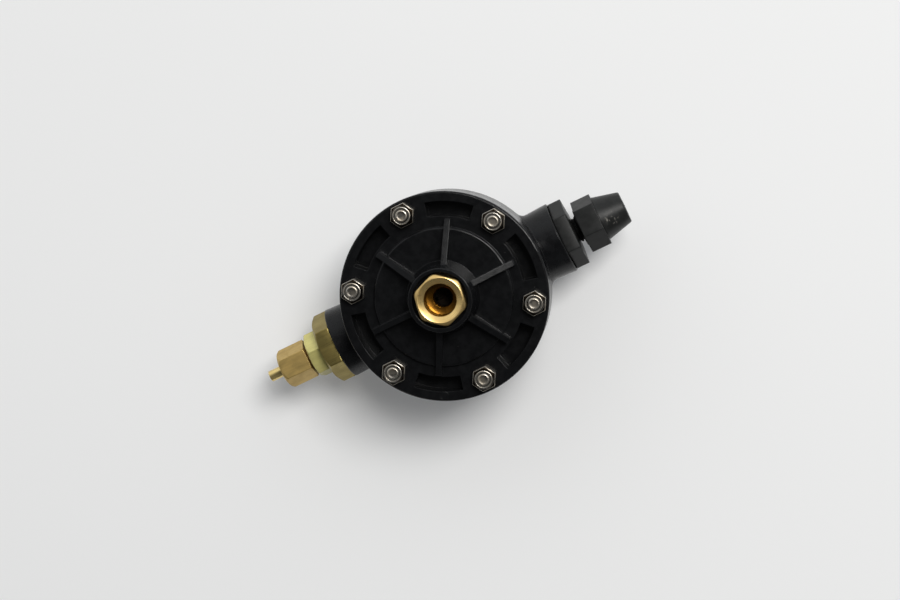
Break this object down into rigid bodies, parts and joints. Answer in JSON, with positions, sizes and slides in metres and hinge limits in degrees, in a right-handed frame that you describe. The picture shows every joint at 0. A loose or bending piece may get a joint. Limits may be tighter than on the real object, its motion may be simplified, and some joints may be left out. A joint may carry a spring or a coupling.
{
  "type": "diaphragm metering pump",
  "caption": "Round diaphragm metering pump worked by water pressure, with threaded inlet, hose cap on the suction port and tube fitting on the delivery port.",
  "frame": {"origin": "centre of the flat rear face, on the pump's axis", "axes": "+Z along the pump's axis towards the water inlet, +X along the suction port, -X along the delivery port"},
  "size_m": [0.1466, 0.0754, 0.0605],
  "materials": {
    "black_plastic": "moulded satin, glass-filled",
    "fitting_plastic": "moulded matt",
    "inlet_brass": "turned, light oxide",
    "dull_brass": "turned, dull olive oxide",
    "pale_brass": "bright, cut faces",
    "nut_brass": "drawn bar, pinkish oxide",
    "tube_brass": "drawn tube",
    "bright_steel": "zinc plated, bright",
    "stainless": "ground",
    "rubber": "moulded",
    "nylon": "natural, satin"
  },
  "bodies": {
    "pump": {"front_cover": "black_plastic", "water_inlet_bush": "inlet_brass", "pump_body": "black_plastic", "flange_bolts": "bright_steel", "flange_nuts": "bright_steel", "nut_lock_rings": "nylon", "diaphragm": "rubber", "plunger_seal": "rubber", "seal_retainer": "nylon", "return_spring": "stainless", "suction_plug": "fitting_plastic", "suction_o_ring": "rubber", "suction_valve_seat": "rubber", "suction_valve_spring": "stainless", "delivery_adaptor": "dull_brass", "delivery_o_ring": "rubber", "delivery_valve_seat": "rubber", "delivery_valve_spring": "stainless", "delivery_connector": "pale_brass"},
    "plunger": {"pressure_plate": "stainless", "piston_plate": "black_plastic", "plate_screw": "stainless", "plunger_rod": "stainless"},
    "suction_check": {"suction_ball": "stainless"},
    "delivery_check": {"delivery_ball": "stainless"},
    "adjuster": {"stroke_adjuster": "inlet_brass", "adjuster_o_ring": "rubber"},
    "hose_travel": {"hose_grip_sleeve": "nylon"},
    "hose_cap": {"hose_cap_nut": "fitting_plastic"},
    "tube_travel": {"outlet_tube": "tube_brass", "tube_olive": "tube_brass"},
    "gland_nut": {"compression_nut": "nut_brass"}
  },
  "joints": [
    {"name": "plunger_stroke", "type": "slide", "parent": "pump", "child": "plunger", "axis": [0, 0, -1], "range_m": [0, 0.004], "stiffness_N_per_m": 1850, "springref_m": -0.008, "deforming": ["return_spring", "diaphragm"]},
    {"name": "suction_valve_lift", "type": "slide", "parent": "pump", "child": "suction_check", "axis": [-1, 0, 0], "range_m": [0, 0.0012], "stiffness_N_per_m": 60, "springref_m": -0.0015},
    {"name": "delivery_valve_lift", "type": "slide", "parent": "pump", "child": "delivery_check", "axis": [-1, 0, 0], "range_m": [0, 0.0012], "stiffness_N_per_m": 60, "springref_m": -0.0015},
    {"name": "adjuster_out", "type": "slide", "parent": "pump", "child": "adjuster", "axis": [0, 0, -1], "range_m": [0, 0.003]},
    {"name": "hose_cap_out", "type": "slide", "parent": "pump", "child": "hose_travel", "axis": [1, 0, 0], "range_m": [0, 0.003]},
    {"name": "hose_cap_turn", "type": "hinge", "parent": "hose_travel", "child": "hose_cap", "pos_m": [0.06, 0, 0.0205], "axis": [1, 0, 0], "range_deg": [0, 730]},
    {"name": "gland_out", "type": "slide", "parent": "pump", "child": "tube_travel", "axis": [-1, 0, 0], "range_m": [0, 0.002]},
    {"name": "gland_turn", "type": "hinge", "parent": "tube_travel", "child": "gland_nut", "pos_m": [-0.06, 0, 0.0205], "axis": [-1, 0, 0], "range_deg": [0, 730]}
  ],
  "couplings": [
    {"joint": "hose_cap_turn", "follows": "hose_cap_out", "rad_per_m": 4188.8},
    {"joint": "gland_turn", "follows": "gland_out", "rad_per_m": 6283.2}
  ]
}
